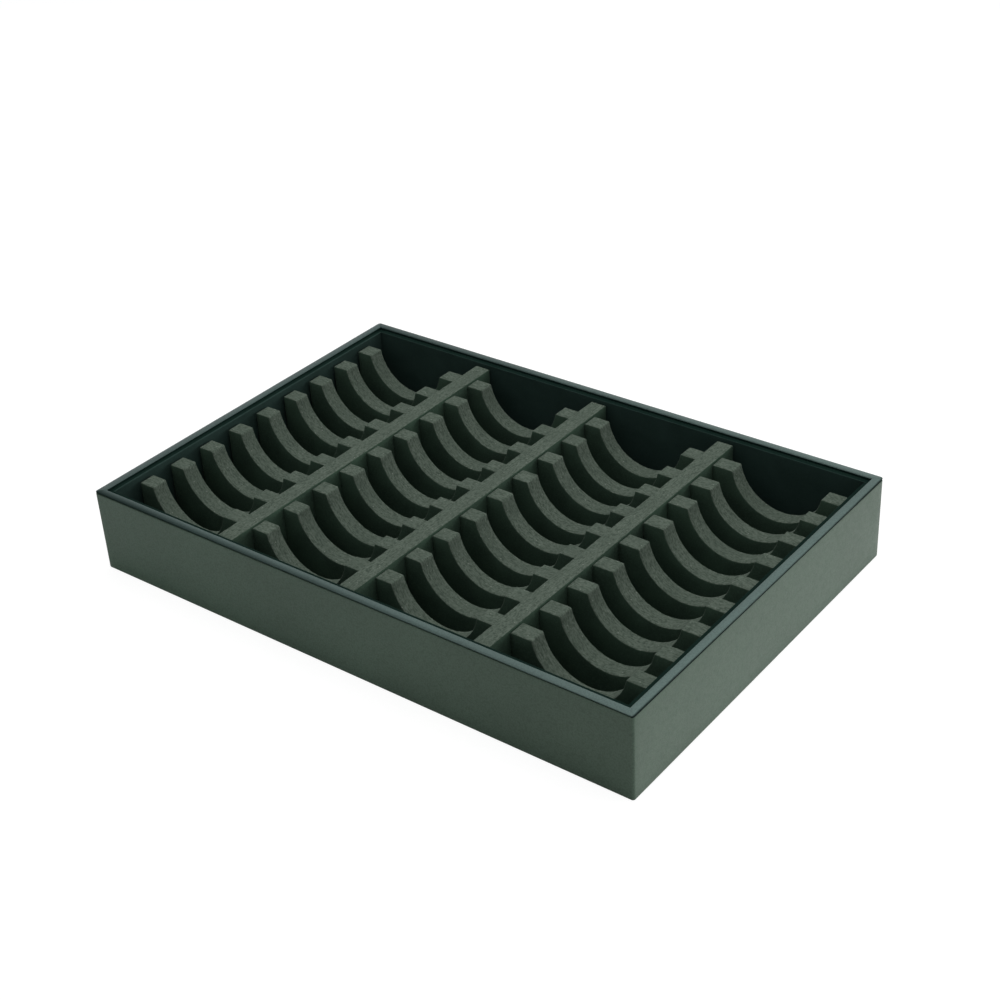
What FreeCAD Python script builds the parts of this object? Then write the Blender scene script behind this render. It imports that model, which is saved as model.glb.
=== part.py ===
# Jewelry storage tray: an open tray of wrapped boards with a loose grid of foam ribs and dividers.
# Millimetres. +X runs along the long side, +Y to the back, +Z up.
# The origin is the middle of the tray on the surface that it stands on.
import FreeCAD, Part
import math
import os

# Outside of the tray
tray_length = 350.0
tray_width = 240.0
tray_height = 50.0
corner_radius = 1.6
bottom_edge_radius = 1.0

# Boards of the shell
wall_board_thickness = 3.0
base_board_thickness = 3.2

# Leatherette skin outside, with its edge folded under the base and a felt sheet between the folds
wrap_thickness = 0.8
wrap_fold_width = 12.0
wrap_top_below_rim = 1.5
wrap_joint_gap = 0.3
wrap_joint_from_left = 40.0
fold_mitre_gap = 0.5
felt_thickness = 0.8
felt_edge_gap = 0.4

# Rim strips of the same skin, over the top edge of the wall boards and folded down behind the lining
rim_strip_thickness = 0.8
rim_fold_depth = 10.0
rim_edge_radius = 0.5
rim_mitre_gap = 0.15

# Lining: velvet over card, on the floor and on each wall
floor_card_thickness = 1.0
wall_card_thickness = 3.1
velvet_thickness = 0.6
velvet_edge_radius = 0.5
lining_top_below_rim = 1.8
lining_gap = 0.1

# Foam grid: ribs from left to right, dividers from front to back, lapped into each other
foam_thickness = 9.8
post_top_below_rim = 4.8
divider_top_below_rim = 3.5
lap_height = 20.0
lap_clearance = 0.1
grid_floor_clearance = 0.3
grid_side_clearance = 1.2
grid_end_clearance = 1.2
rib_count = 9
rib_end_room = 20.5
rib_row_shift = 2.0
divider_count = 3
divider_end_room = 82.75
divider_shift = -1.2

# Half-round cut-outs in the ribs that a bangle lies in, one in each column
hollow_radius = 27.3
hollow_depth = 22.3

# Heights of the layers
base_bottom = max(wrap_thickness, felt_thickness)
base_top = base_bottom + base_board_thickness
floor_card_top = base_top + floor_card_thickness
floor_top = floor_card_top + velvet_thickness
board_top = tray_height - rim_strip_thickness
rim_fold_bottom = board_top - rim_fold_depth
wrap_bottom = base_bottom - wrap_thickness
wrap_top = tray_height - wrap_top_below_rim
lining_top = tray_height - lining_top_below_rim
grid_bottom = floor_top + grid_floor_clearance
post_top = tray_height - post_top_below_rim
divider_top = tray_height - divider_top_below_rim
lap_level = grid_bottom + lap_height

# Half lengths and half widths of the layers of the wall, from outside to inside
outer_x = tray_length / 2
outer_y = tray_width / 2
board_outer_x = outer_x - wrap_thickness
board_outer_y = outer_y - wrap_thickness
board_inner_x = board_outer_x - wall_board_thickness
board_inner_y = board_outer_y - wall_board_thickness
rim_inner_x = board_inner_x - rim_strip_thickness
rim_inner_y = board_inner_y - rim_strip_thickness
card_inner_x = board_inner_x - wall_card_thickness
card_inner_y = board_inner_y - wall_card_thickness
lining_inner_x = card_inner_x - velvet_thickness
lining_inner_y = card_inner_y - velvet_thickness
board_corner_radius = max(corner_radius - wrap_thickness, 0.2)

# Middles of neighbouring foam boards: each row fills the lining but for its end rooms
rib_spacing = 2 * (lining_inner_y - rib_end_room) / (rib_count - 1)
divider_spacing = 2 * (lining_inner_x - divider_end_room) / (divider_count - 1)


def block(x0, x1, y0, y1, z0, z1):
    """A box between two corners."""
    return Part.makeBox(x1 - x0, y1 - y0, z1 - z0, FreeCAD.Vector(x0, y0, z0))


def ring_block(half_x, half_y, z0, z1):
    """A box centred on the tray."""
    return block(-half_x, half_x, -half_y, half_y, z0, z1)


def edges_along(shape, axis, x=None, y=None, z=None):
    """Straight edges that run along one axis and have the given places, signs ignored for x and y."""
    found = []
    for edge in shape.Edges:
        ends = [vertex.Point for vertex in edge.Vertexes]
        if len(ends) != 2:
            continue
        run = ends[1] - ends[0]
        if abs(abs(run[axis]) - run.Length) > 1e-6:
            continue
        if x is not None and any(abs(abs(p.x) - x) > 1e-4 for p in ends):
            continue
        if y is not None and any(abs(abs(p.y) - y) > 1e-4 for p in ends):
            continue
        if z is not None and any(abs(p.z - z) > 1e-4 for p in ends):
            continue
        found.append(edge)
    return found


def rounded_block(half_x, half_y, z0, z1, radius):
    """A centred box with its four upright edges rounded."""
    solid = ring_block(half_x, half_y, z0, z1)
    return solid.makeFillet(radius, edges_along(solid, 2, x=half_x, y=half_y))


def base_board():
    """The board that everything stands on."""
    return rounded_block(board_outer_x, board_outer_y, base_bottom, base_top, board_corner_radius)


def long_wall_board(side):
    """Front (side -1) or back (side 1) wall board, as long as the base board."""
    frame = rounded_block(board_outer_x, board_outer_y, base_top, board_top, board_corner_radius)
    low, high = sorted((side * board_inner_y, side * (board_outer_y + 1)))
    return frame.common(block(-outer_x, outer_x, low, high, base_top, board_top))


def short_wall_board(side):
    """Left (side -1) or right (side 1) wall board, held between the long ones."""
    low, high = sorted((side * board_inner_x, side * board_outer_x))
    return block(low, high, -board_inner_y, board_inner_y, base_top, board_top)


def outer_wrap():
    """One strip round all four walls, folded under the base, its ends meeting at the back."""
    skin = rounded_block(outer_x, outer_y, wrap_bottom, wrap_top, corner_radius)
    low_edges = [edge for edge in skin.Edges if abs(edge.BoundBox.ZMax - wrap_bottom) < 1e-4]
    skin = skin.makeFillet(min(bottom_edge_radius, wrap_thickness * 0.95), low_edges)
    boards = rounded_block(board_outer_x, board_outer_y, base_bottom, wrap_top + 1, board_corner_radius)
    skin = skin.cut(boards)
    opening_x = board_outer_x - wrap_fold_width
    opening_y = board_outer_y - wrap_fold_width
    skin = skin.cut(ring_block(opening_x, opening_y, wrap_bottom - 1, base_bottom + 1))
    for slit in fold_mitres(opening_x, opening_y):
        skin = skin.cut(slit)
    joint_x = wrap_joint_from_left - outer_x
    return skin.cut(block(joint_x, joint_x + wrap_joint_gap, opening_y - 1, outer_y + 1,
                          wrap_bottom - 1, wrap_top + 1))


def fold_mitres(opening_x, opening_y):
    """Thin diagonal slits where the folded edges of the wrap meet under the corners."""
    reach = wrap_fold_width - wrap_thickness
    half = fold_mitre_gap * math.sqrt(0.5) / 2
    slits = []
    for sign_x in (-1, 1):
        for sign_y in (-1, 1):
            offsets = [(-half - 1, half - 1), (half - 1, -half - 1), (reach + half, reach - half),
                       (reach - half, reach + half)]
            points = [FreeCAD.Vector(sign_x * (opening_x + dx), sign_y * (opening_y + dy), wrap_bottom - 1)
                      for dx, dy in offsets + offsets[:1]]
            face = Part.Face(Part.makePolygon(points))
            slits.append(face.extrude(FreeCAD.Vector(0, 0, wrap_thickness + 2)))
    return slits


def bottom_cover():
    """Felt sheet on the underside, inside the folded edge of the wrap."""
    half_x = board_outer_x - wrap_fold_width - felt_edge_gap
    half_y = board_outer_y - wrap_fold_width - felt_edge_gap
    return ring_block(half_x, half_y, base_bottom - felt_thickness, base_bottom)


def frame_block(outside_x, outside_y, inside_x, inside_y, z0, z1):
    """A centred frame between an outer and an inner rectangle."""
    return ring_block(outside_x, outside_y, z0, z1).cut(ring_block(inside_x, inside_y, z0 - 1, z1 + 1))


def rim_ring():
    """The rim before it is parted: a cap over the board edge with a fold down its inner face."""
    ring = rounded_block(outer_x, outer_y, rim_fold_bottom, tray_height, corner_radius)
    crown = [edge for edge in ring.Edges if abs(edge.BoundBox.ZMin - tray_height) < 1e-4]
    ring = ring.makeFillet(rim_edge_radius, crown)
    ring = ring.cut(ring_block(rim_inner_x, rim_inner_y, rim_fold_bottom - 1, tray_height + 1))
    mouth = edges_along(ring, 0, y=rim_inner_y, z=tray_height)
    mouth += edges_along(ring, 1, x=rim_inner_x, z=tray_height)
    ring = ring.makeFillet(rim_edge_radius, mouth)
    return ring.cut(frame_block(outer_x + 1, outer_y + 1, board_inner_x, board_inner_y,
                                rim_fold_bottom - 1, board_top))


def mitred_part(ring, along_x, side):
    """The part of a ring on one wall, parted at 45 degrees at both corners."""
    depth = min(outer_x, outer_y) / 2
    if along_x:
        half, edge = outer_x, outer_y
    else:
        half, edge = outer_y, outer_x
    corners = [(-half - 1 + rim_mitre_gap, edge + 1), (half + 1 - rim_mitre_gap, edge + 1),
               (half - depth - rim_mitre_gap, edge - depth), (depth - half + rim_mitre_gap, edge - depth)]
    points = []
    for run, out in corners + corners[:1]:
        if along_x:
            points.append(FreeCAD.Vector(run, side * out, 0))
        else:
            points.append(FreeCAD.Vector(side * out, run, 0))
    wedge = Part.Face(Part.makePolygon(points)).extrude(FreeCAD.Vector(0, 0, tray_height + 1))
    return ring.common(wedge)


def floor_card():
    """Card under the velvet of the floor."""
    return ring_block(board_inner_x - lining_gap, board_inner_y - lining_gap, base_top, floor_card_top)


def floor_velvet():
    """Velvet over the floor card."""
    return ring_block(board_inner_x - lining_gap, board_inner_y - lining_gap, floor_card_top, floor_top)


def wall_card(along_x, side):
    """Card on one wall, under its velvet."""
    return wall_layer(along_x, side, card_inner_x, card_inner_y, lining_top - velvet_thickness)


def wall_velvet(along_x, side):
    """Velvet on one wall, turned over the top edge of its card."""
    velvet = wall_layer(along_x, side, lining_inner_x, lining_inner_y, lining_top)
    if along_x:
        rim_edges = edges_along(velvet, 0, y=lining_inner_y, z=lining_top)
    else:
        rim_edges = edges_along(velvet, 1, x=lining_inner_x, z=lining_top)
    velvet = velvet.makeFillet(min(velvet_edge_radius, velvet_thickness * 0.9), rim_edges)
    return velvet.cut(wall_card(along_x, side))


def wall_layer(along_x, side, inner_x, inner_y, top):
    """A layer on one wall, relieved for the fold of the rim. Left and right fit between front and back."""
    if along_x:
        low, high = sorted((side * inner_y, side * board_inner_y))
        half = board_inner_x - lining_gap
        layer = block(-half, half, low, high, floor_top, top)
    else:
        low, high = sorted((side * inner_x, side * board_inner_x))
        half = lining_inner_y - lining_gap
        layer = block(low, high, -half, half, floor_top, top)
    return layer.cut(frame_block(board_inner_x, board_inner_y, rim_inner_x, rim_inner_y, rim_fold_bottom, top + 1))


def divider_centres():
    """Where the dividers stand along X."""
    first = divider_shift - divider_spacing * (divider_count - 1) / 2
    return [first + divider_spacing * number for number in range(divider_count)]


def rib_centres():
    """Where the ribs stand along Y, from the back to the front."""
    first = rib_row_shift + rib_spacing * (rib_count - 1) / 2
    return [first - rib_spacing * number for number in range(rib_count)]


def column_centres():
    """The middle of each column between walls and dividers."""
    half_foam = foam_thickness / 2
    left_sides = [-lining_inner_x] + [x + half_foam for x in divider_centres()]
    right_sides = [x - half_foam for x in divider_centres()] + [lining_inner_x]
    return [(left + right) / 2 for left, right in zip(left_sides, right_sides)]


def rib(centre_y):
    """A rib across the whole tray, with a hollow in each column and a slot from above at each divider."""
    half_foam = foam_thickness / 2
    half_length = lining_inner_x - grid_side_clearance
    strip = block(-half_length, half_length, centre_y - half_foam, centre_y + half_foam,
                  grid_bottom, post_top)
    hollow_z = post_top - hollow_depth + hollow_radius
    for x in column_centres():
        start = FreeCAD.Vector(x, centre_y - foam_thickness, hollow_z)
        hollow = Part.makeCylinder(hollow_radius, 2 * foam_thickness, start, FreeCAD.Vector(0, 1, 0))
        strip = strip.cut(hollow)
    half_slot = half_foam + lap_clearance
    for x in divider_centres():
        strip = strip.cut(block(x - half_slot, x + half_slot, centre_y - foam_thickness,
                                centre_y + foam_thickness, lap_level, post_top + 1))
    return strip


def divider(centre_x):
    """A divider from front to back, with a slot from below at each rib."""
    half_foam = foam_thickness / 2
    half_length = lining_inner_y - grid_end_clearance
    strip = block(centre_x - half_foam, centre_x + half_foam, -half_length, half_length,
                  grid_bottom, divider_top)
    half_slot = half_foam + lap_clearance
    for y in rib_centres():
        strip = strip.cut(block(centre_x - foam_thickness, centre_x + foam_thickness,
                                y - half_slot, y + half_slot, grid_bottom - 1, lap_level))
    return strip


def all_pieces():
    """Every separate piece of the tray by its name."""
    ring = rim_ring()
    pieces = {
        "base_board": base_board(),
        "front_wall_board": long_wall_board(-1),
        "back_wall_board": long_wall_board(1),
        "left_wall_board": short_wall_board(-1),
        "right_wall_board": short_wall_board(1),
        "outer_wrap": outer_wrap(),
        "bottom_cover": bottom_cover(),
        "floor_card": floor_card(),
        "floor_velvet": floor_velvet(),
    }
    walls = (("front", True, -1), ("back", True, 1), ("left", False, -1), ("right", False, 1))
    for name, along_x, side in walls:
        pieces[name + "_rim_strip"] = mitred_part(ring, along_x, side)
        pieces[name + "_wall_card"] = wall_card(along_x, side)
        pieces[name + "_wall_velvet"] = wall_velvet(along_x, side)
    for number, y in enumerate(rib_centres(), start=1):
        pieces["rib_%d" % number] = rib(y)
    for number, x in enumerate(divider_centres(), start=1):
        pieces["divider_%d" % number] = divider(x)
    return pieces


def write_parts():
    """One STEP file for each piece."""
    os.makedirs("parts", exist_ok=True)
    for name, shape in all_pieces().items():
        solids = shape.Solids
        piece = solids[0] if len(solids) == 1 else Part.makeCompound(solids)
        piece.exportStep("parts/%s.step" % name)
        print(name, len(solids), piece.isValid(), round(piece.Volume, 1))


write_parts()
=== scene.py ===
import math

import bmesh
import bpy
import numpy as np
from mathutils import Matrix, Vector, geometry, noise


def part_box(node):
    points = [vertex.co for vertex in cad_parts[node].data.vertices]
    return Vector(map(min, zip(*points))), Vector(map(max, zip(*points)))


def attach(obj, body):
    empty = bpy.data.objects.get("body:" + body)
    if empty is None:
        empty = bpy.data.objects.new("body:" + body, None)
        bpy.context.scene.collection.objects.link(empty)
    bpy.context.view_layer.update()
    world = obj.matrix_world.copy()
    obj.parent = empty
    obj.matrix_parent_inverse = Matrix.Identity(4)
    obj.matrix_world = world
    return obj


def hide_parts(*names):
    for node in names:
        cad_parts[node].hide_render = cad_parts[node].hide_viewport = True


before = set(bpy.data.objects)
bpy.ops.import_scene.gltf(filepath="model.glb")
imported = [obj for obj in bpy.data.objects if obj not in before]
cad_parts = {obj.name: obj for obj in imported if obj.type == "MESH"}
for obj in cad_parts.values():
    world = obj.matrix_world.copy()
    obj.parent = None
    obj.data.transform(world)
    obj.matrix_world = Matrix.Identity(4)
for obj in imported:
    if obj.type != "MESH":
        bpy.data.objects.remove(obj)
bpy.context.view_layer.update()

# Sizes are millimetres until a mesh is made, in the frame's own directions.
MM = 0.001


def node_box(node):
    """Lowest and highest corner of a CAD node in millimetres."""
    low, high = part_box(node)
    return np.array(low) / MM, np.array(high) / MM


# Shell: the wrap's folds, roundings and joint, and the shape of the rim strips over the wall boards
HALF_LENGTH, HALF_WIDTH, WRAP_TOP = node_box("outer_wrap")[1]
RIM_INSIDE_BOTTOM = node_box("front_rim_strip")[0][2]
RIM_TOP = node_box("front_rim_strip")[1][2]
RIM_WIDTH = node_box("left_rim_strip")[1][0] + HALF_LENGTH
BOARD_TOP = node_box("front_wall_board")[1][2]
SKIN = 0.8
CORNER_RADIUS = 1.6
BOTTOM_RADIUS = 1.0
FOLD_INSIDE = 12.8
FOLD_GAP = 0.35
FOLD_MITRE_HEIGHT = 0.6
WRAP_JOINT = (-135.0, -134.7)
RIM_OUTSIDE_RADIUS = 0.25
RIM_INSIDE_RADIUS = 0.75
RIM_CROWN = 0.45
RIM_PEAK = 0.72 * RIM_WIDTH
RIM_MITRE_GAP = 0.04
RIM_MITRE_RUN = 1.0
SKIN_STEP = 4.0

# Lining: velvet over card, against the fold of the rim
VELVET = 0.6
VELVET_BEND = 0.35
LINING_FACE = -node_box("left_wall_velvet")[1][0]
LINING_DEPTH = HALF_LENGTH - RIM_WIDTH - LINING_FACE
LINING_BOTTOM, LINING_TOP = node_box("back_wall_velvet")[0][2], node_box("back_wall_velvet")[1][2]
LONG_LINING = HALF_LENGTH - RIM_WIDTH - 0.1
SHORT_LINING = node_box("left_wall_velvet")[1][1]
# How the top of each wall's velvet is drawn: how far before its face the last flat run ends, how many of its
# first runs are painted black as the shade beside the rim, and how much of the full sag it has between its
# glued spots.
VELVET_TOPS = {"front": (0.4, 7, 0.3), "back": (0.5, 5, 1.0), "left": (0.95, 3, 1.0), "right": (0.4, 7, 0.3)}

# Foam boards of the grid
FOAM = 9.8
FOAM_EDGE = 0.55
CUT_CORNER = 0.9
CUT_STEP = 1.6
HOLLOW_RADIUS = 27.3
HOLLOW_CENTRE = 5.0
LAP_LEVEL = 25.9
SLOT_HALF = 5.0
RIBS = ["rib_%d" % number for number in range(1, 10)]
DIVIDERS = ["divider_%d" % number for number in range(1, 4)]

# The studio
FLOOR_HALF = 6.0
WHITE = (1.0, 1.0, 1.0, 1.0)


def linear(colour):
    """An sRGB hex colour as the linear values that shaders take."""
    parts = [int(colour[at:at + 2], 16) / 255 for at in (1, 3, 5)]
    return tuple(c / 12.92 if c <= 0.04045 else ((c + 0.055) / 1.055) ** 2.4 for c in parts) + (1.0,)


def add(tree, kind, settings, sockets):
    """Adds one node with its settings, and fills its sockets with values or links."""
    made = tree.nodes.new(kind)
    for name, value in settings.items():
        setattr(made, name, value)
    for key, value in sockets.items():
        if isinstance(value, bpy.types.NodeSocket):
            tree.links.new(value, made.inputs[key])
        else:
            made.inputs[key].default_value = value
    return made


def new_material(name):
    """An empty node material and its tree."""
    material = bpy.data.materials.new(name)
    material.use_nodes = True
    material.node_tree.nodes.clear()
    return material, material.node_tree


def finish_material(material, shader):
    """Links the shader to the material's output."""
    tree = material.node_tree
    add(tree, "ShaderNodeOutputMaterial", {}, {"Surface": shader})
    return material


def mixed(tree, factor, first, second):
    """Colour between two colours."""
    return add(tree, "ShaderNodeMix", {"data_type": "RGBA"}, {0: factor, 6: first, 7: second}).outputs[2]


def spread(tree, value, low, high, to_low=0.0, to_high=1.0):
    """A value stretched from one range to another and clamped."""
    sockets = {"Value": value, "From Min": low, "From Max": high, "To Min": to_low, "To Max": to_high}
    return add(tree, "ShaderNodeMapRange", {"clamp": True}, sockets).outputs["Result"]


def object_place(tree):
    """Object coordinates, which stay with a piece that moves."""
    return add(tree, "ShaderNodeTexCoord", {}, {}).outputs["Object"]


def grain(tree, place, scale, detail, **more):
    """Noise with about one blot in each 1/scale metres."""
    sockets = {"Vector": place, "Scale": scale, "Detail": detail, **more}
    return add(tree, "ShaderNodeTexNoise", {}, sockets).outputs["Fac"]


def reckoned(tree, operation, *values):
    """What a math node makes of its values."""
    return add(tree, "ShaderNodeMath", {"operation": operation}, dict(enumerate(values))).outputs[0]


def relief(tree, height, strength, depth, sunken=False):
    """A normal for relief that stands up, or is sunken, where the height is great."""
    sockets = {"Height": height, "Strength": strength, "Distance": depth}
    return add(tree, "ShaderNodeBump", {"invert": sunken}, sockets).outputs["Normal"]


def surface(material, sockets):
    """Ends the material in one Principled shader."""
    shader = add(material.node_tree, "ShaderNodeBsdfPrincipled", {}, sockets).outputs["BSDF"]
    return finish_material(material, shader)


def leatherette(name, left, right, roughness, gleam):
    """PU leatherette, embossed with a fine pebble: a satin face with painted light that drifts from its left
    end to its right, and painted shade where the mesh's attribute asks for it.
    """
    material, tree = new_material(name)
    place = object_place(tree)
    # The real pebble is about 0.4 mm; it is drawn at 0.8 mm so that it shows in the render.
    pebble = add(tree, "ShaderNodeTexVoronoi", {"feature": "SMOOTH_F1"},
                 {"Vector": place, "Scale": 1250.0, "Smoothness": 0.6}).outputs["Distance"]
    crease = grain(tree, place, 420.0, 3.0, Roughness=0.6)
    cloud = grain(tree, place, 16.0, 2.0)
    # Painted light: the colour runs from the left end's colour to the right end's, as the light grows or
    # fades across the tray.
    along = add(tree, "ShaderNodeSeparateXYZ", {}, {"Vector": place}).outputs["X"]
    light_drift = spread(tree, along, -HALF_LENGTH * MM, HALF_LENGTH * MM)
    colour = mixed(tree, light_drift, linear(left), linear(right))
    # Painted shade: a near-black green is mixed in where the mesh's attribute is high, at the rim's edges and
    # at the wrap's top edge on the right.
    painted_shade = add(tree, "ShaderNodeAttribute", {"attribute_name": "painted_shade"}, {}).outputs["Fac"]
    colour = mixed(tree, painted_shade, colour, linear("#14221f"))
    cloudy = spread(tree, cloud, 0.3, 0.7, 0.92, 1.08)
    # The cloud is a real drift of tone; the darker pebble valleys are painted shade.
    shade = reckoned(tree, "MULTIPLY", cloudy, spread(tree, pebble, 0.25, 0.75, 1.06, 0.84))
    colour = add(tree, "ShaderNodeVectorMath", {"operation": "SCALE"}, {0: colour, "Scale": shade}).outputs[0]
    gloss = spread(tree, crease, 0.3, 0.7, roughness - 0.05, roughness + 0.07)
    height = reckoned(tree, "MULTIPLY_ADD", crease, 0.5, pebble)
    return surface(material, {"Base Color": colour, "Roughness": gloss, "Specular IOR Level": gleam,
                              "Normal": relief(tree, height, 0.35, 0.00006, sunken=True)})


def velvet(name, base, worn, sheen):
    """Short-pile velvet: near black seen straight on, with a soft bloom where it turns away."""
    material, tree = new_material(name)
    place = object_place(tree)
    # The pile is some 0.05 mm thick a thread; it is drawn at 0.7 mm, as tufts that show in the render.
    pile = grain(tree, place, 1400.0, 2.0)
    brushed = grain(tree, place, 45.0, 3.0, Distortion=0.6)
    colour = mixed(tree, spread(tree, brushed, 0.35, 0.7, 0.0, 0.6), linear(base), linear(worn))
    colour = mixed(tree, spread(tree, pile, 0.4, 0.75, 0.0, 0.35), colour, linear(worn))
    return surface(material, {"Base Color": colour, "Roughness": 0.95, "Specular IOR Level": 0.05,
                              "Normal": relief(tree, pile, 0.5, 0.00012),
                              "Sheen Weight": sheen, "Sheen Roughness": 0.35})


def foam_face():
    """EVA foam sheet, its moulded skin: dark, even and matt, with a faint grain of small cells."""
    material, tree = new_material("EVA_foam_moulded_skin")
    place = object_place(tree)
    # Cells of 0.2 mm are drawn at 0.9 mm so that they show in the render.
    cells = grain(tree, place, 1100.0, 2.0)
    rubbed = grain(tree, place, 60.0, 3.0)
    colour = mixed(tree, spread(tree, rubbed, 0.35, 0.7), linear("#324338"), linear("#3d5244"))
    colour = mixed(tree, spread(tree, cells, 0.45, 0.75, 0.0, 0.4), colour, linear("#4c6152"))
    return surface(material, {"Base Color": colour, "Roughness": 0.92, "Specular IOR Level": 0.12,
                              "Normal": relief(tree, cells, 0.4, 0.00008)})


def foam_cut():
    """EVA foam cut by a running blade: opened cells make it lighter, with streaks along the cut."""
    material, tree = new_material("EVA_foam_cut_edge")
    place = object_place(tree)
    strip = add(tree, "ShaderNodeUVMap", {"uv_map": "along_cut"}, {}).outputs["UV"]
    flat = add(tree, "ShaderNodeSeparateXYZ", {}, {"Vector": strip}).outputs
    # Blade marks of 0.3 mm are drawn 0.8 mm wide and 2.5 mm long so that they show in the render.
    along = reckoned(tree, "MULTIPLY", flat["X"], 400.0)
    across = reckoned(tree, "MULTIPLY", flat["Y"], 1250.0)
    # The place of the board in the tray makes the marks of no two boards alike.
    between = add(tree, "ShaderNodeVectorMath", {"operation": "DOT_PRODUCT"},
                  {0: place, 1: (40.0, 40.0, 0.0)}).outputs["Value"]
    on_cut = add(tree, "ShaderNodeCombineXYZ", {}, {"X": along, "Y": across, "Z": between}).outputs["Vector"]
    streak = grain(tree, on_cut, 1.0, 2.0)
    cells = grain(tree, place, 900.0, 2.0)
    rubbed = grain(tree, place, 70.0, 2.0)
    lint = add(tree, "ShaderNodeTexVoronoi", {}, {"Vector": place, "Scale": 260.0}).outputs["Distance"]
    colour = mixed(tree, spread(tree, streak, 0.38, 0.62), linear("#404b42"), linear("#59645a"))
    colour = mixed(tree, spread(tree, cells, 0.45, 0.7, 0.0, 0.6), colour, linear("#687268"))
    colour = mixed(tree, spread(tree, rubbed, 0.4, 0.7, 0.0, 0.4), colour, linear("#465148"))
    colour = mixed(tree, spread(tree, lint, 0.04, 0.12, 0.6, 0.0), colour, linear("#8d958b"))
    height = reckoned(tree, "ADD", streak, cells)
    return surface(material, {"Base Color": colour, "Roughness": 0.95, "Specular IOR Level": 0.12,
                              "Normal": relief(tree, height, 0.5, 0.00012)})


def board_stock(name, base, fleck, size, roughness, gleam):
    """Pressed board: a dull ground with fibres a little lighter than it, of a size in millimetres."""
    material, tree = new_material(name)
    fibre = grain(tree, object_place(tree), 1 / (size * MM), 4.0, Distortion=1.2)
    colour = mixed(tree, spread(tree, fibre, 0.4, 0.7), linear(base), linear(fleck))
    return surface(material, {"Base Color": colour, "Roughness": roughness, "Specular IOR Level": gleam,
                              "Normal": relief(tree, fibre, 0.4, 0.0001)})


# The rim's inner fold is painted nearly black, as the shade in the groove beside the lining: it draws a fine
# dark line there.
FOLD_BLACK_SHADE = leatherette("PU_leatherette_fold_shade_black", "#0d201c", "#0d201c", 0.7, 0.04)
# The wrap is painted lighter at its left end and darker at its right: painted light.
WRAP_FINISH = leatherette("PU_leatherette_pebbled_green", "#4c5f52", "#48584c", 0.4, 0.12)
# The rim is painted darker at its left end and lighter at its right: painted light. Copies with less gleam at
# each step go where the painted shade is deeper, so the reflection fades with it along the rim's edges.
RIM_SHADE_COPIES = [leatherette("PU_leatherette_pebbled_slate_%d" % step, "#435351", "#556763", 0.45,
                            0.15 - 0.03 * step) for step in range(5)]
LINING_FINISH = velvet("velvet_short_pile_black_green", "#263632", "#30423e", 0.02)
# Beside the rim the velvet is painted near black: painted shade in its joint with the rim.
JOINT_BLACK_SHADE = velvet("velvet_joint_shade_black", "#0e1f1b", "#13251f", 0.0)
FELT_FINISH = velvet("felt_pressed_charcoal", "#1a2120", "#2c3432", 0.1)
FACE_FINISH = foam_face()
CUT_FINISH = foam_cut()
# MDF of a dark green-black, so that no pale line shows in the seam at the rim.
SHELL_FINISH = board_stock("MDF_stained_dark", "#1e2a25", "#2a3631", 1.5, 0.8, 0.1)
# Grey board from recycled paper, with pale and dark fibres.
CARD_FINISH = board_stock("grey_board_recycled", "#6a6a64", "#85847c", 0.9, 0.9, 0.3)


def placed(name, data):
    """An object in the scene that shows the data."""
    made = bpy.data.objects.new(name, data)
    bpy.context.scene.collection.objects.link(made)
    return made


def solid(name, points, faces, materials, face_finish=None, painted_shade=None):
    """A piece from points in millimetres: doubles merged, faces turned outwards, soft edges shaded smooth."""
    mesh = bpy.data.meshes.new(name)
    mesh.from_pydata([tuple(p) for p in np.asarray(points, float) * MM], [], faces)
    for material in materials:
        mesh.materials.append(material)
    if face_finish is not None:
        mesh.polygons.foreach_set("material_index", face_finish)
    # The attribute says how much painted shade the leatherette takes.
    if painted_shade is not None:
        mesh.attributes.new("painted_shade", "FLOAT", "POINT").data.foreach_set("value", painted_shade)
    shape = bmesh.new()
    shape.from_mesh(mesh)
    bmesh.ops.remove_doubles(shape, verts=shape.verts, dist=1e-6)
    bmesh.ops.dissolve_degenerate(shape, edges=shape.edges, dist=1e-7)
    bmesh.ops.recalc_face_normals(shape, faces=shape.faces)
    shape.to_mesh(mesh)
    shape.free()
    mesh.shade_smooth()
    mesh.set_sharp_from_angle(angle=math.radians(35))
    return placed(name, mesh)


def loft(loops):
    """Points and faces of a bar through successive loops of equal count, with both ends closed."""
    loops = np.asarray(loops, float)
    runs, around = loops.shape[:2]
    faces = []
    for run in range(runs - 1):
        for at in range(around):
            after = (at + 1) % around
            faces.append((run * around + at, run * around + after,
                          (run + 1) * around + after, (run + 1) * around + at))
    faces.append(tuple(range(around)))
    faces.append(tuple((runs - 1) * around + at for at in range(around)))
    return loops.reshape(-1, 3), faces


def wave(place, length, seed):
    """A slow random swing from -1 to 1, about one in each length."""
    return noise.noise(Vector((place / length, seed * 3.71, 0.37)))


def arc(centre, radius, start, end, count):
    """Points on an arc from one angle to another, in degrees."""
    angles = np.radians(np.linspace(start, end, count))
    return [(centre[0] + radius * math.cos(a), centre[1] + radius * math.sin(a)) for a in angles]


def rows(start, end, step):
    """Even places from start to end, both included."""
    return list(np.linspace(start, end, max(2, int(round(abs(end - start) / step)) + 1)))


def drawn_in(section, amount):
    """A closed section with every point moved towards its inside."""
    points = np.array(section, float)
    run = np.roll(points, -1, 0) - np.roll(points, 1, 0)
    run /= np.maximum(np.linalg.norm(run, axis=1), 1e-9)[:, None]
    turn = np.stack([-run[:, 1], run[:, 0]], 1)
    area = (points[:, 0] * np.roll(points[:, 1], -1) - np.roll(points[:, 0], -1) * points[:, 1]).sum()
    return points + turn * amount * math.copysign(1, area)


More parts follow.
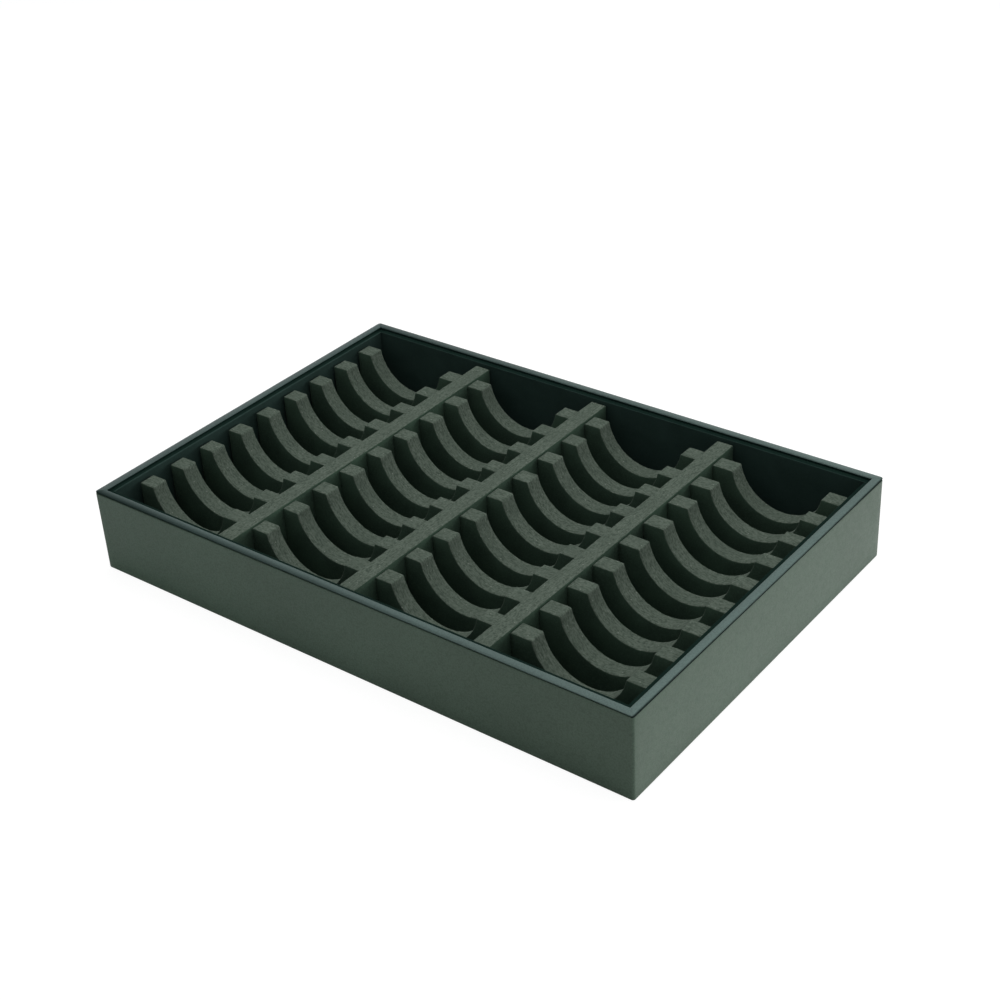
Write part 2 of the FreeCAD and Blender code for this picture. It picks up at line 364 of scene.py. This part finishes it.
# Each wall's half length, and the place of a point so far along it and so deep from the tray's outside
WALLS = {
    "front": (HALF_LENGTH, lambda run, depth: (run, depth - HALF_WIDTH)),
    "back": (HALF_LENGTH, lambda run, depth: (run, HALF_WIDTH - depth)),
    "left": (HALF_WIDTH, lambda run, depth: (depth - HALF_LENGTH, run)),
    "right": (HALF_WIDTH, lambda run, depth: (HALF_LENGTH - depth, run)),
}


def rim_section():
    """The rim's folded skin seen from its end, as depth from the tray's outside and height."""
    outside, inside, width = RIM_OUTSIDE_RADIUS, RIM_INSIDE_RADIUS, RIM_WIDTH
    outer_top = RIM_TOP - RIM_CROWN
    inner_top = RIM_TOP - 0.05
    points = [(0.05, BOARD_TOP), (0.0, BOARD_TOP + 0.05)]
    points += arc((outside, outer_top - outside), outside, 180, 95, 5)
    for depth in np.linspace(outside + 0.3, RIM_PEAK, 7)[:-1]:
        points.append((depth, RIM_TOP - RIM_CROWN * ((RIM_PEAK - depth) / (RIM_PEAK - outside)) ** 2))
    points.append((RIM_PEAK, RIM_TOP))
    points += arc((width - inside, inner_top - inside), inside, 88, 0, 8)
    points += [(width, z) for z in (LINING_TOP + 0.5, LINING_TOP, LINING_TOP - 1.0)]
    points += [(width, RIM_INSIDE_BOTTOM + 0.15), (width - 0.1, RIM_INSIDE_BOTTOM)]
    points += [(width - SKIN, RIM_INSIDE_BOTTOM), (width - SKIN, BOARD_TOP)]
    return points


def rim_shade_share(wall, run, depth):
    """How much painted shade the rim gets: most along the outside of the front and right strips, not at all
    at left.
    """
    share = {"front": 0.62 - 0.0024 * run - 0.24 * depth, "right": 0.6 + 0.00003 * run ** 2 - 1.3 * depth,
             "back": 0.15 - 0.001 * run, "left": 0.0}[wall]
    return min(1.0, max(0.0, share))


def rim_strip(wall, seed):
    """A leatherette strip folded over the top of one wall, mitred at both corners."""
    half, place = WALLS[wall]
    section = np.array(rim_section())
    tucked = drawn_in(section, 0.04)
    bends = 5
    stations = [(-1, step) for step in range(bends, -1, -1)]
    stations += [(0, share) for share in rows(-1.0, 1.0, SKIN_STEP / half)]
    stations += [(1, step) for step in range(bends + 1)]
    loops, painted_shade = [], []
    for end, at in stations:
        loop = []
        for depth, height in (tucked if end and at == bends else section):
            if not end:
                run = at * (half - max(depth, CORNER_RADIUS) - RIM_MITRE_RUN - RIM_MITRE_GAP)
                deep = depth
                if height > LINING_TOP - 0.5:
                    deep += 0.05 * wave(run, 22.0, seed + height)
                    height -= 0.07 * abs(wave(run, 30.0, seed + 9))
            elif depth < CORNER_RADIUS:
                angle = math.radians(45.0 * at / bends)
                radius = CORNER_RADIUS - depth
                run = end * (half - CORNER_RADIUS + radius * math.sin(angle) - RIM_MITRE_GAP * at / bends)
                deep = CORNER_RADIUS - radius * math.cos(angle)
            else:
                share = (at + 1) / (bends + 1)
                run = end * (half - depth - RIM_MITRE_RUN * (1 - share) - RIM_MITRE_GAP)
                deep = depth
            loop.append((*place(run, deep), height))
            painted_shade.append(rim_shade_share(wall, run, deep))
        loops.append(loop)
    points, faces = loft(loops)
    after = np.roll(section, -1, 0)
    folded = (section[:, 0] > RIM_WIDTH - 0.2) & (after[:, 1] < RIM_TOP - RIM_INSIDE_RADIUS)
    # The inner fold takes the black leatherette, painted shade; elsewhere the deeper the painted shade, the
    # less the gleam of the copy taken.
    shade_steps = len(RIM_SHADE_COPIES)
    finishes = []
    for fold, share in zip(list(folded) * (len(loops) - 1), painted_shade):
        finishes.append(shade_steps if fold else int(share * (shade_steps - 0.01)))
    return solid(wall + "_rim_skin", points, faces, RIM_SHADE_COPIES + [FOLD_BLACK_SHADE], finishes + [0, 0], painted_shade)


def wrap_section():
    """The wrap seen from its end: down the wall, round the bottom edge, in under the base and back."""
    points = [(0.3, WRAP_TOP), (0.09, WRAP_TOP - 0.09), (0.0, WRAP_TOP - 0.3)]
    points += [(0.0, z) for z in rows(WRAP_TOP - 1.5, BOTTOM_RADIUS + 1.0, SKIN_STEP)]
    points += arc((BOTTOM_RADIUS, BOTTOM_RADIUS), BOTTOM_RADIUS, 180, 270, 7)
    points += [(d, 0.0) for d in (1.7, 3.5, 6.0, 9.0, 11.5)]
    points += [(FOLD_INSIDE - 0.25, 0.02), (FOLD_INSIDE - 0.06, 0.1), (FOLD_INSIDE, 0.3), (FOLD_INSIDE, SKIN)]
    points += [(d, SKIN) for d in (9.0, 5.0, 1.7, SKIN)]
    points += [(SKIN, z) for z in rows(6.0, WRAP_TOP, 12.0)]
    return points


def wrap_corner(section, leg, share):
    """The wrap's section part of the way round the corner after a leg: its fold below is mitred there."""
    sign_x, sign_y = (1 if leg in (0, 1) else -1), (1 if leg in (0, 3) else -1)
    angle = math.radians((90, 0, -90, -180)[leg] - 90 * share)
    gap_x = FOLD_GAP * (share if leg in (1, 3) else 1 - share)
    loop = []
    for depth, height in section:
        if depth < CORNER_RADIUS:
            x = sign_x * (HALF_LENGTH - CORNER_RADIUS) + (CORNER_RADIUS - depth) * math.cos(angle)
            y = sign_y * (HALF_WIDTH - CORNER_RADIUS) + (CORNER_RADIUS - depth) * math.sin(angle)
        else:
            x = sign_x * (HALF_LENGTH - depth - gap_x)
            y = sign_y * (HALF_WIDTH - depth - FOLD_GAP + gap_x)
            height = max(height, FOLD_MITRE_HEIGHT)
        loop.append((x, y, height))
    return loop


def outer_wrap():
    """One strip of leatherette round all four walls, folded under the base, its ends meeting at the back."""
    section = wrap_section()
    bends = 6
    # Each leg's wall, direction and ends; an end without a place is at a corner.
    legs = [("back", 1, WRAP_JOINT[1], None), ("right", -1, None, None), ("front", -1, None, None),
            ("left", 1, None, None), ("back", 1, None, WRAP_JOINT[0])]
    loops = []
    for leg, (wall, sign, start, end) in enumerate(legs):
        half, place = WALLS[wall]
        length = abs((sign * half if end is None else end) - (-sign * half if start is None else start))
        for share in rows(0.0, 1.0, SKIN_STEP / length):
            loop = []
            for depth, height in section:
                gap = FOLD_GAP if depth >= CORNER_RADIUS else 0.0
                reach = half - max(depth, CORNER_RADIUS) - gap
                first = -sign * reach if start is None else start
                last = sign * reach if end is None else end
                loop.append((*place(first + (last - first) * share, depth), height))
            loops.append(loop)
        if end is None:
            loops += [wrap_corner(section, leg, step / bends) for step in range(1, bends)]
    points, faces = loft(loops)
    # Painted shade: the wrap's top edge along the right wall is painted dark, for the shade of the seam under
    # the rim.
    edge = np.array([depth > 0.05 and height > WRAP_TOP - 0.15 for depth, height in section] * len(loops))
    on_right = points[:, 0] > HALF_LENGTH - CORNER_RADIUS
    return solid("outer_wrap_skin", points, faces, [WRAP_FINISH], None, edge * on_right)


def wall_velvet(wall, half, seed):
    """Velvet on one wall, rolled over the top of its card: it swells a little between glued spots."""
    place = WALLS[wall][1]
    front = LINING_DEPTH
    flat_end, shaded_runs, loose = VELVET_TOPS[wall]
    section = [(d, LINING_TOP) for d in (0.0, 0.6, 1.2, front - flat_end)]
    section += arc((front - VELVET_BEND, LINING_TOP - VELVET_BEND), VELVET_BEND, 90, 0, 7)
    section += [(front, z) for z in rows(LINING_TOP - 2.7, LINING_BOTTOM + 1.0, 2.8)]
    section += [(front - 0.1, LINING_BOTTOM), (front - VELVET, LINING_BOTTOM)]
    section += [(front - VELVET, LINING_TOP - VELVET), (0.0, LINING_TOP - VELVET)]
    loops = []
    for run in rows(-half, half, 2.5):
        edge = min(1.0, (half - abs(run)) / 6.0)
        sag = 0.16 * abs(wave(run, 26.0, seed)) + 0.08 * abs(wave(run, 7.0, seed + 4))
        loop = []
        for depth, height in section:
            if height > LINING_TOP - VELVET - 0.3:
                height -= (sag * loose if depth > 0.5 else 0.0) + 0.2 * (1 - edge)
            if depth > front - VELVET + 0.01 and height < LINING_TOP - 0.4:
                rise = (height - LINING_BOTTOM) / (LINING_TOP - LINING_BOTTOM)
                swell = 0.22 * wave(run + 90 * rise, 38.0, seed + 2) - 0.12
                depth += min(swell, 0.1) * math.sin(math.pi * min(1.0, max(0.0, rise))) ** 0.5
                depth -= 0.35 * (1 - edge)
            loop.append((*place(run, RIM_WIDTH + depth), height))
        loops.append(loop)
    points, faces = loft(loops)
    # The first runs beside the rim take the black velvet: painted shade.
    finishes = [int(at < shaded_runs) for at in range(len(section))] * (len(loops) - 1)
    return solid(wall + "_velvet_cover", points, faces, [LINING_FINISH, JOINT_BLACK_SHADE], finishes + [0, 0])


def panel_places(low, high):
    """Places across a panel: close together at its soft edges and 5 mm apart between them."""
    return [low, low + 0.15, low + 0.6] + rows(low + 4, high - 4, 5.0) + [high - 0.6, high - 0.15, high]


def cloth_panel(name, node, up, finish, seed):
    """A glued sheet of cloth with a soft edge, its shown side up or down, that lies a little unevenly."""
    low, high = node_box(node)
    thick = high[2] - low[2]
    shown, hidden = (high[2], low[2]) if up else (low[2], high[2])
    into = -1 if up else 1
    xs, ys = panel_places(low[0], high[0]), panel_places(low[1], high[1])
    points, faces = [], []
    for y in ys:
        for x in xs:
            rim = min(x - low[0], high[0] - x, y - low[1], high[1] - y)
            soft = 0.35 * thick if rim < 0.1 else 0.1 * thick if rim < 0.5 else 0.0
            lie = 0.08 * abs(noise.noise(Vector((x / 24, y / 24, seed))))
            points.append((x, y, shown + into * (soft + min(lie, rim))))
    across = len(xs)
    for j in range(len(ys) - 1):
        for i in range(across - 1):
            a = j * across + i
            faces.append((a, a + 1, a + across + 1, a + across))
    border = list(range(across)) + [j * across + across - 1 for j in range(1, len(ys))]
    border += [(len(ys) - 1) * across + i for i in range(across - 2, -1, -1)]
    border += [j * across for j in range(len(ys) - 2, 0, -1)]
    base = len(points)
    points += [(points[index][0], points[index][1], hidden) for index in border]
    count = len(border)
    for k in range(count):
        faces.append((border[k], border[(k + 1) % count], base + (k + 1) % count, base + k))
    faces.append(tuple(base + k for k in range(count)))
    return solid(name, points, faces, [finish])


def rounded_corner(at, before, after, radius):
    """An arc for a right-angled outside corner of a cut outline."""
    at, before, after = np.array(at), np.array(before), np.array(after)
    back = (before - at) / np.linalg.norm(before - at)
    on = (after - at) / np.linalg.norm(after - at)
    centre = at + (back + on) * radius
    points = []
    for angle in np.radians(np.linspace(0, 90, 5)):
        points.append(tuple(centre - on * radius * math.cos(angle) - back * radius * math.sin(angle)))
    return points


def densified(points):
    """A cut outline with its long straight runs divided."""
    result = []
    for at, (a, z) in enumerate(points):
        next_a, next_z = points[(at + 1) % len(points)]
        count = max(1, int(math.dist((a, z), (next_a, next_z)) / CUT_STEP))
        result += [(a + (next_a - a) * t / count, z + (next_z - z) * t / count) for t in range(count)]
    return result


def rib_outline():
    """A rib seen from the front: posts, a half-round hollow in each column, and slots at the dividers."""
    low, high = node_box("rib_1")
    bottom, top = low[2], high[2]
    walls = [(-LINING_FACE, -LINING_FACE)]
    for name in DIVIDERS:
        divider_low, divider_high = node_box(name)
        walls.append((divider_low[0], divider_high[0]))
    walls.append((LINING_FACE, LINING_FACE))
    centre = top + HOLLOW_CENTRE
    # Where the rounded corner of a post runs into the hollow: how far from its middle, and at what angle.
    drop = HOLLOW_CENTRE + CUT_CORNER
    slip = math.sqrt((HOLLOW_RADIUS + CUT_CORNER) ** 2 - drop ** 2)
    touch = math.degrees(math.atan2(drop, slip))
    outline = rounded_corner((low[0], bottom), (high[0], bottom), (low[0], top), CUT_CORNER)
    for column, (left, right) in enumerate(zip(walls, walls[1:])):
        middle = (left[1] + right[0]) / 2
        start = low[0] if column == 0 else (left[0] + left[1]) / 2 + SLOT_HALF
        end = high[0] if column == len(walls) - 2 else (right[0] + right[1]) / 2 - SLOT_HALF
        outline += rounded_corner((start, top), (start, bottom), (middle, top), CUT_CORNER)
        outline += arc((middle - slip, top - CUT_CORNER), CUT_CORNER, 90, touch, 5)
        outline += arc((middle, centre), HOLLOW_RADIUS, 180 + touch, 360 - touch, 84)[1:-1]
        outline += arc((middle + slip, top - CUT_CORNER), CUT_CORNER, 180 - touch, 90, 5)
        outline += rounded_corner((end, top), (middle, top), (end, bottom), CUT_CORNER)
        if column < len(walls) - 2:
            outline += [(end, LAP_LEVEL), (end + 2 * SLOT_HALF, LAP_LEVEL)]
    outline += rounded_corner((high[0], bottom), (high[0], top), (low[0], bottom), CUT_CORNER)
    return densified(outline)


def divider_outline():
    """A divider seen from the side: a straight top and a slot from below at each rib."""
    low, high = node_box("divider_1")
    bottom, top = low[2], high[2]
    corners = [(low[1], bottom), (low[1], top), (high[1], top), (high[1], bottom)]
    outline = []
    for at, corner in enumerate(corners):
        outline += rounded_corner(corner, corners[at - 1], corners[(at + 1) % 4], CUT_CORNER)
    for name in RIBS:
        rib_low, rib_high = node_box(name)
        middle = (rib_low[1] + rib_high[1]) / 2
        outline += [(middle + SLOT_HALF, bottom), (middle + SLOT_HALF, LAP_LEVEL),
                    (middle - SLOT_HALF, LAP_LEVEL), (middle - SLOT_HALF, bottom)]
    return densified(outline)


def cut_board(name, outline, along_x):
    """One foam board as the pattern for its row: skinned faces, a cut strip all round, softened arrises."""
    outline = np.array(outline)
    half = FOAM / 2
    tight = drawn_in(outline, FOAM_EDGE)
    # Across the board: how far from its middle and how far inside the outline, from a face to the middle
    steps = [(-half, FOAM_EDGE), (-half + 0.1 * FOAM_EDGE, 0.55 * FOAM_EDGE),
             (-half + 0.35 * FOAM_EDGE, 0.2 * FOAM_EDGE), (-half + FOAM_EDGE, 0.0),
             (-half * 0.5, 0.0), (0.0, 0.0)]
    steps += [(-across, inset) for across, inset in reversed(steps[:-1])]
    count = len(outline)
    points, faces, finishes, flat_places = [], [], [], []
    gone = np.concatenate([[0.0], np.cumsum(np.linalg.norm(np.roll(outline, -1, 0) - outline, axis=1))])
    for across, inset in steps:
        ring = outline + (tight - outline) * inset / FOAM_EDGE
        points += [(a, across, z) for a, z in ring]
    for band in range(len(steps) - 1):
        for at in range(count):
            after = (at + 1) % count
            faces.append((band * count + at, band * count + after, (band + 1) * count + after,
                          (band + 1) * count + at))
            finishes.append(0 if band in (0, len(steps) - 2) else 1)
            low, high = steps[band][0], steps[band + 1][0]
            flat_places.append([(gone[at], low), (gone[at + 1], low), (gone[at + 1], high), (gone[at], high)])
    inner = inner_points(tight, 5.0)
    flat = [Vector(p) for p in tight] + [Vector(p) for p in inner]
    edges = [(at, (at + 1) % count) for at in range(count)]
    spots, _, triangles, _, _, _ = geometry.delaunay_2d_cdt(flat, edges, [], 1, 1e-4)
    for side, band in ((-half, 0), (half, len(steps) - 1)):
        base = len(points)
        points += [(p.x, side, p.y) for p in spots]
        for triangle in triangles:
            faces.append(tuple(base + i for i in triangle))
            finishes.append(0)
            flat_places.append([(spots[i].x, spots[i].y) for i in triangle])
    if not along_x:
        points = [(across, a, z) for a, across, z in points]
    mesh = bpy.data.meshes.new(name)
    mesh.from_pydata([tuple(p) for p in np.array(points) * MM], [], faces)
    along_cut = mesh.uv_layers.new(name="along_cut")
    along_cut.data.foreach_set("uv", np.array([p for face in flat_places for p in face]).ravel() * MM)
    mesh.attributes.new("is_cut", "BOOLEAN", "FACE").data.foreach_set("value", [bool(f) for f in finishes])
    shape = bmesh.new()
    shape.from_mesh(mesh)
    bmesh.ops.remove_doubles(shape, verts=shape.verts, dist=2e-6)
    bmesh.ops.recalc_face_normals(shape, faces=shape.faces)
    shape.to_mesh(mesh)
    shape.free()
    mesh.shade_smooth()
    mesh.set_sharp_from_angle(angle=math.radians(40))
    return placed(name, mesh)


def inner_points(outline, step):
    """Evenly spread points well inside a closed outline."""
    low, high = outline.min(0), outline.max(0)
    after = np.roll(outline, -1, 0)
    found = []
    for z in np.arange(low[1] + step / 2, high[1], step):
        for a in np.arange(low[0] + step / 2, high[0], step):
            crosses = (outline[:, 1] > z) != (after[:, 1] > z)
            rise = np.where(crosses, after[:, 1] - outline[:, 1], 1.0)
            crossing = outline[:, 0] + (z - outline[:, 1]) / rise * (after[:, 0] - outline[:, 0])
            inside = (crosses & (a < crossing)).sum() % 2 == 1
            if inside and np.hypot(outline[:, 0] - a, outline[:, 1] - z).min() > step * 0.45:
                found.append((a, z))
    return found


def row_tree():
    """Geometry nodes that repeat a board in a row, bow each one a little and give it its finishes."""
    tree = bpy.data.node_groups.new("boards_in_a_row", "GeometryNodeTree")
    kinds = {"Board": "Geometry", "Count": "Int", "First Place": "Vector", "Step": "Vector", "Bow": "Vector",
             "Bow Length": "Float", "Fray": "Float", "Fray Length": "Float", "Seed": "Float",
             "Face Finish": "Material", "Cut Finish": "Material"}
    for name, kind in kinds.items():
        tree.interface.new_socket(name=name, in_out="INPUT", socket_type="NodeSocket" + kind)
    tree.interface.new_socket(name="Boards", in_out="OUTPUT", socket_type="NodeSocketGeometry")
    given = add(tree, "NodeGroupInput", {}, {}).outputs
    line = add(tree, "GeometryNodeMeshLine", {"mode": "OFFSET"},
               {"Count": given["Count"], "Start Location": given["First Place"], "Offset": given["Step"]})
    boards = add(tree, "GeometryNodeInstanceOnPoints", {},
                 {"Points": line.outputs["Mesh"], "Instance": given["Board"]})
    index = add(tree, "GeometryNodeInputIndex", {}, {}).outputs["Index"]
    numbered = add(tree, "GeometryNodeStoreNamedAttribute", {"data_type": "INT", "domain": "INSTANCE"},
                   {"Geometry": boards.outputs["Instances"], "Name": "board_number", "Value": index})
    real = add(tree, "GeometryNodeRealizeInstances", {}, {"Geometry": numbered.outputs["Geometry"]})
    number = add(tree, "GeometryNodeInputNamedAttribute", {"data_type": "INT"},
                 {"Name": "board_number"}).outputs["Attribute"]
    draw = reckoned(tree, "MULTIPLY_ADD", number, 7.3, given["Seed"])
    place = add(tree, "GeometryNodeInputPosition", {}, {}).outputs["Position"]
    shifts = []
    for length, amount in (("Bow Length", "Bow"), ("Fray Length", "Fray")):
        scale = reckoned(tree, "DIVIDE", 1.0, given[length])
        drift = add(tree, "ShaderNodeTexNoise", {"noise_dimensions": "4D"},
                    {"Vector": place, "W": draw, "Scale": scale, "Detail": 0.0}).outputs["Color"]
        centred = add(tree, "ShaderNodeVectorMath", {"operation": "SUBTRACT"}, {0: drift, 1: (0.5, 0.5, 0.5)})
        sized = add(tree, "ShaderNodeVectorMath", {"operation": "MULTIPLY"},
                    {0: centred.outputs["Vector"], 1: given[amount]})
        shifts.append(sized.outputs["Vector"])
    shift = add(tree, "ShaderNodeVectorMath", {"operation": "ADD"}, {0: shifts[0], 1: shifts[1]})
    moved = add(tree, "GeometryNodeSetPosition", {},
                {"Geometry": real.outputs["Geometry"], "Offset": shift.outputs["Vector"]})
    cut = add(tree, "GeometryNodeInputNamedAttribute", {"data_type": "BOOLEAN"}, {"Name": "is_cut"})
    faced = add(tree, "GeometryNodeSetMaterial", {},
                {"Geometry": moved.outputs["Geometry"], "Material": given["Face Finish"]})
    done = add(tree, "GeometryNodeSetMaterial", {},
               {"Geometry": faced.outputs["Geometry"], "Selection": cut.outputs["Attribute"],
                "Material": given["Cut Finish"]})
    add(tree, "NodeGroupOutput", {}, {"Boards": done.outputs["Geometry"]})
    return tree


def row_of_boards(pattern, tree, nodes, inputs):
    """Runs the row tree on a pattern board, and parts the result into one plain piece for each CAD node."""
    modifier = pattern.modifiers.new("row", "NODES")
    modifier.node_group = tree
    for socket in tree.interface.items_tree:
        if socket.in_out == "INPUT" and socket.name in inputs:
            modifier[socket.identifier] = inputs[socket.name]
    evaluated = pattern.evaluated_get(bpy.context.evaluated_depsgraph_get())
    whole = bpy.data.meshes.new_from_object(evaluated)
    pieces = []
    for number, node in enumerate(nodes):
        shape = bmesh.new()
        shape.from_mesh(whole)
        layer = shape.verts.layers.int["board_number"]
        others = [vertex for vertex in shape.verts if vertex[layer] != number]
        bmesh.ops.delete(shape, geom=others, context="VERTS")
        mesh = whole.copy()
        mesh.name = node + "_foam"
        shape.to_mesh(mesh)
        shape.free()
        pieces.append(placed(node + "_foam", mesh))
    bpy.data.objects.remove(pattern)
    bpy.data.meshes.remove(whole)
    return pieces


def foam_grid():
    """Nine ribs and three dividers, as two rows of repeated boards."""
    tree = row_tree()
    finishes = {"Face Finish": FACE_FINISH, "Cut Finish": CUT_FINISH}
    first, second = (sum(node_box(name)) / 2 * MM for name in RIBS[:2])
    # Each board's faces wander by up to half of Bow, and its edges fray by up to half of Fray, in metres.
    ribs = row_of_boards(cut_board("rib_pattern", rib_outline(), True), tree, RIBS, {
        "Count": len(RIBS), "First Place": (0.0, first[1], 0.0), "Step": (0.0, second[1] - first[1], 0.0),
        "Bow": (0.0, 0.0026, 0.0006), "Bow Length": 0.11, "Fray": 0.00022, "Fray Length": 0.0016,
        "Seed": 3.0, **finishes})
    first, second = (sum(node_box(name)) / 2 * MM for name in DIVIDERS[:2])
    dividers = row_of_boards(cut_board("divider_pattern", divider_outline(), False), tree, DIVIDERS, {
        "Count": len(DIVIDERS), "First Place": (first[0], 0.0, 0.0), "Step": (second[0] - first[0], 0.0, 0.0),
        "Bow": (0.0012, 0.0, 0.0005), "Bow Length": 0.12, "Fray": 0.0002, "Fray Length": 0.0016,
        "Seed": 41.0, **finishes})
    return ribs + dividers


def dress(piece, body, slot, *nodes):
    """Rides the piece on its body, in place of its CAD nodes; its slot is not used."""
    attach(piece, body)
    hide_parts(*nodes)
    return piece


def build_tray():
    """Skins, lining and grid, each in place of its CAD node."""
    wrap = dress(outer_wrap(), "tray", "wrap_leatherette", "outer_wrap")
    for number, wall in enumerate(WALLS):
        strip = dress(rim_strip(wall, 11.0 + 5 * number), "tray", "rim_leatherette", wall + "_rim_strip")
        half = LONG_LINING if wall in ("front", "back") else SHORT_LINING
        cover = dress(wall_velvet(wall, half, 2.0 + 7 * number), "tray", "lining_velvet",
                      wall + "_wall_velvet")
    floor = dress(cloth_panel("floor_velvet_cover", "floor_velvet", True, LINING_FINISH, 5.0), "tray",
                  "lining_velvet", "floor_velvet")
    felt = dress(cloth_panel("bottom_felt", "bottom_cover", False, FELT_FINISH, 8.0), "tray",
                 "bottom_felt", "bottom_cover")
    for piece in foam_grid():
        dress(piece, "foam_grid", "grid_foam", piece.name.replace("_foam", ""))


def paint_frame():
    """Finishes of the CAD nodes that stay."""
    for name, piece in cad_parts.items():
        if name.endswith("_card"):
            finish = CARD_FINISH
        elif name.endswith("_board"):
            finish = SHELL_FINISH
        else:
            continue
        for slot in piece.material_slots:
            slot.material = finish


def backdrop_shader(tree, seen, mirrored, lit):
    """What the camera sees, what glossy and clear surfaces show, and what lights the object."""
    paths = add(tree, "ShaderNodeLightPath", {}, {}).outputs
    either = reckoned(tree, "MAXIMUM", paths["Is Glossy Ray"], paths["Is Transmission Ray"])
    behind = add(tree, "ShaderNodeMixShader", {}, {0: either, 1: lit, 2: mirrored}).outputs[0]
    return add(tree, "ShaderNodeMixShader", {}, {0: paths["Is Camera Ray"], 1: behind, 2: seen}).outputs[0]


def emitting(tree, strength):
    """White light of a strength."""
    return add(tree, "ShaderNodeEmission", {}, {"Color": WHITE, "Strength": strength}).outputs[0]


def scattering(tree, grey):
    """A matt grey."""
    return add(tree, "ShaderNodeBsdfDiffuse", {}, {"Color": (grey, grey, grey, 1.0)}).outputs[0]


def studio_floor():
    """Pale paper that keeps a trace of shadow: white enough to join the backdrop, plain grey to the light."""
    material, tree = new_material("pale_floor_paper")
    paper = scattering(tree, 0.85)
    place = add(tree, "ShaderNodeSeparateXYZ", {}, {"Vector": object_place(tree)}).outputs
    # The floor glows for glossy rays only, as painted reflections for the walls to show: at the right a glow
    # that dims away from the tray, in front one that begins a little off it.
    glow_front = spread(tree, place["Y"], -0.145, -0.123, 0.4, 0.0)
    glow_right = spread(tree, place["X"], 0.182, 0.23, 0.8, 0.1)
    reflected_glow = add(tree, "ShaderNodeMix", {"data_type": "FLOAT"},
                {0: spread(tree, place["X"], 0.172, 0.178), 2: glow_front, 3: glow_right}).outputs[0]
    seen = add(tree, "ShaderNodeAddShader", {}, {0: emitting(tree, 0.9), 1: scattering(tree, 0.2)}).outputs[0]
    mirrored = add(tree, "ShaderNodeAddShader", {}, {0: emitting(tree, reflected_glow), 1: paper}).outputs[0]
    finish_material(material, backdrop_shader(tree, seen, mirrored, paper))
    mesh = bpy.data.meshes.new("studio_floor")
    corners = [(-FLOOR_HALF, -FLOOR_HALF, 0), (FLOOR_HALF, -FLOOR_HALF, 0),
               (FLOOR_HALF, FLOOR_HALF, 0), (-FLOOR_HALF, FLOOR_HALF, 0)]
    mesh.from_pydata(corners, [], [(0, 1, 2, 3)])
    mesh.materials.append(material)
    placed("studio_floor", mesh)


def studio_sky():
    """An even dim sky that the camera and mirrors see as white."""
    world = bpy.data.worlds.new("studio_sky")
    world.use_nodes = True
    tree = world.node_tree
    tree.nodes.clear()
    sky = add(tree, "ShaderNodeBackground", {}, {"Color": (0.97, 1.0, 0.99, 1.0), "Strength": 0.3}).outputs[0]
    white = add(tree, "ShaderNodeBackground", {}, {"Color": WHITE, "Strength": 1.0}).outputs[0]
    add(tree, "ShaderNodeOutputWorld", {}, {"Surface": backdrop_shader(tree, white, white, sky)})
    bpy.context.scene.world = world


def studio_lamps():
    """A broad softbox above, a fainter one in front, and two at the right that the right wall shows."""
    for name, place, size, energy in (("softbox_above", (0.1, 0.2, 1.3), (1.4, 1.0), 11.0),
                                      ("softbox_front", (-0.3, -0.7, 1.5), (1.2, 1.2), 2.0),
                                      ("softbox_right", (0.95, 0.62, 0.24), (0.6, 0.4), 3.2),
                                      ("reflector_right", (1.1, 0.5, 0.06), (0.8, 0.1), 4.0)):
        light = bpy.data.lights.new(name, "AREA")
        light.shape = "RECTANGLE"
        light.size, light.size_y = size
        light.energy = energy
        lamp = placed(name, light)
        lamp.location = place
        lamp.rotation_euler = (-lamp.location).to_track_quat("-Z", "Y").to_euler()


def camera():
    """The photograph's view: its place in millimetres and its right, down and forward directions."""
    place = (520.741, -635.275, 551.073)
    right = Vector((0.79737428, 0.60154042, -0.04840846))
    down = Vector((0.28612336, -0.44745761, -0.84729872))
    forward = Vector((-0.53134516, 0.66176342, -0.52890595))
    lens = bpy.data.cameras.new("camera")
    lens.sensor_width = 36.0
    lens.lens = 64.6
    seen = placed("camera", lens)
    turn = Matrix((right, -down, -forward)).transposed()
    seen.matrix_world = Matrix.Translation(Vector(place) * MM) @ turn.to_4x4()
    bpy.context.scene.camera = seen


bpy.context.scene.view_settings.view_transform = "Standard"
camera()
studio_floor()
studio_sky()
studio_lamps()
paint_frame()
build_tray()
